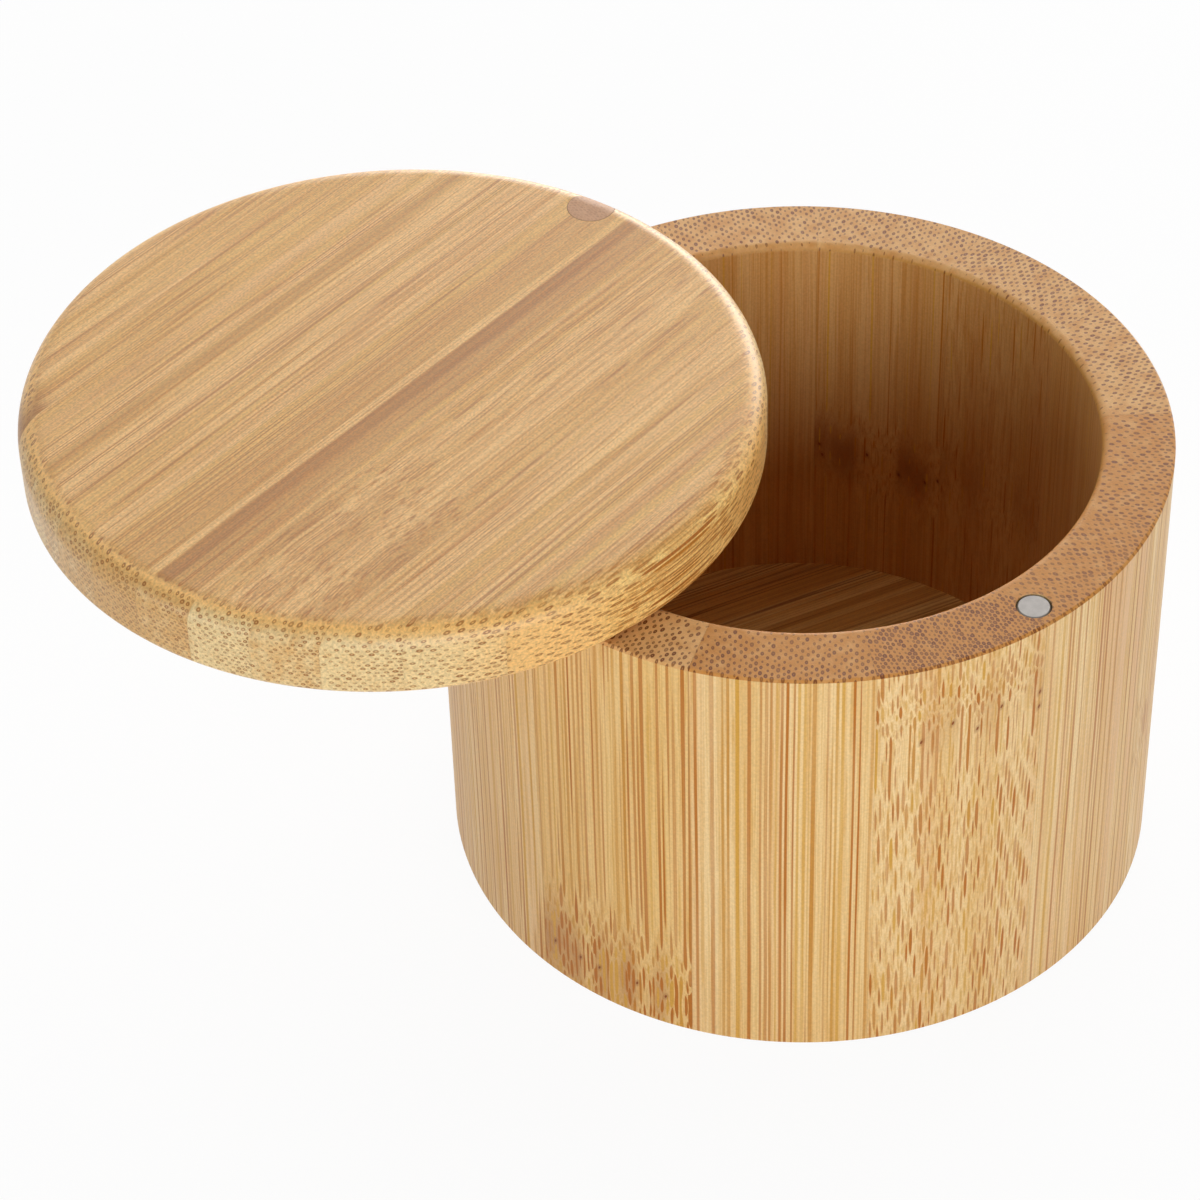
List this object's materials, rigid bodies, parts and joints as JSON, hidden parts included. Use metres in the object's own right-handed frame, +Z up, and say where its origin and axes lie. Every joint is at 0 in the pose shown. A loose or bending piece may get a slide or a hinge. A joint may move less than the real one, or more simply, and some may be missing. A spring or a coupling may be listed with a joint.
{
  "type": "salt box with swivel lid",
  "caption": "Round bamboo salt box of glued upright staves, with a thick round-edged lid that swivels open sideways on a plugged pivot screw and is held shut by small magnets.",
  "frame": {"origin": "centre of the box's underside", "axes": "+Z up; +Y towards the lid's pivot; -Y towards the magnet in the rim; the lid is drawn swung open towards -X"},
  "size_m": [0.1281, 0.1177, 0.0698],
  "materials": {
    "wall_bamboo": "fine-sanded carbonised bamboo, upright grain, thin oil finish",
    "floor_bamboo": "fine-sanded bamboo strips, thin oil finish",
    "lid_bamboo": "fine-sanded bamboo strips, thin oil finish",
    "plug_bamboo": "end grain of a bamboo dowel, sanded flush with the lid",
    "magnet_plating": "satin nickel plating",
    "screw_steel": "zinc-plated steel"
  },
  "bodies": {
    "box": {"body_stave_01": "wall_bamboo", "body_stave_02": "wall_bamboo", "body_stave_03": "wall_bamboo", "body_stave_04": "wall_bamboo", "body_stave_05": "wall_bamboo", "body_stave_06": "wall_bamboo", "body_stave_07": "wall_bamboo", "body_stave_08": "wall_bamboo", "body_stave_09": "wall_bamboo", "body_stave_10": "wall_bamboo", "body_stave_11": "wall_bamboo", "body_stave_12": "wall_bamboo", "body_stave_13": "wall_bamboo", "floor_strip_01": "floor_bamboo", "floor_strip_02": "floor_bamboo", "floor_strip_03": "floor_bamboo", "floor_strip_04": "floor_bamboo", "floor_strip_05": "floor_bamboo", "floor_strip_06": "floor_bamboo", "floor_strip_07": "floor_bamboo", "floor_strip_08": "floor_bamboo", "floor_strip_09": "floor_bamboo", "floor_strip_10": "floor_bamboo", "floor_strip_11": "floor_bamboo", "rim_magnet": "magnet_plating", "pivot_screw": "screw_steel"},
    "lid": {"lid_strip_01": "lid_bamboo", "lid_strip_02": "lid_bamboo", "lid_strip_03": "lid_bamboo", "lid_strip_04": "lid_bamboo", "lid_strip_05": "lid_bamboo", "lid_strip_06": "lid_bamboo", "lid_strip_07": "lid_bamboo", "lid_strip_08": "lid_bamboo", "lid_strip_09": "lid_bamboo", "lid_strip_10": "lid_bamboo", "lid_strip_11": "lid_bamboo", "lid_strip_12": "lid_bamboo", "lid_magnet": "magnet_plating", "pivot_plug": "plug_bamboo"}
  },
  "joints": [
    {"name": "lid_swivel", "type": "hinge", "parent": "box", "child": "lid", "pos_m": [0, 0.0411, 0.06085], "axis": [0, 0, 1], "continuous": true}
  ]
}
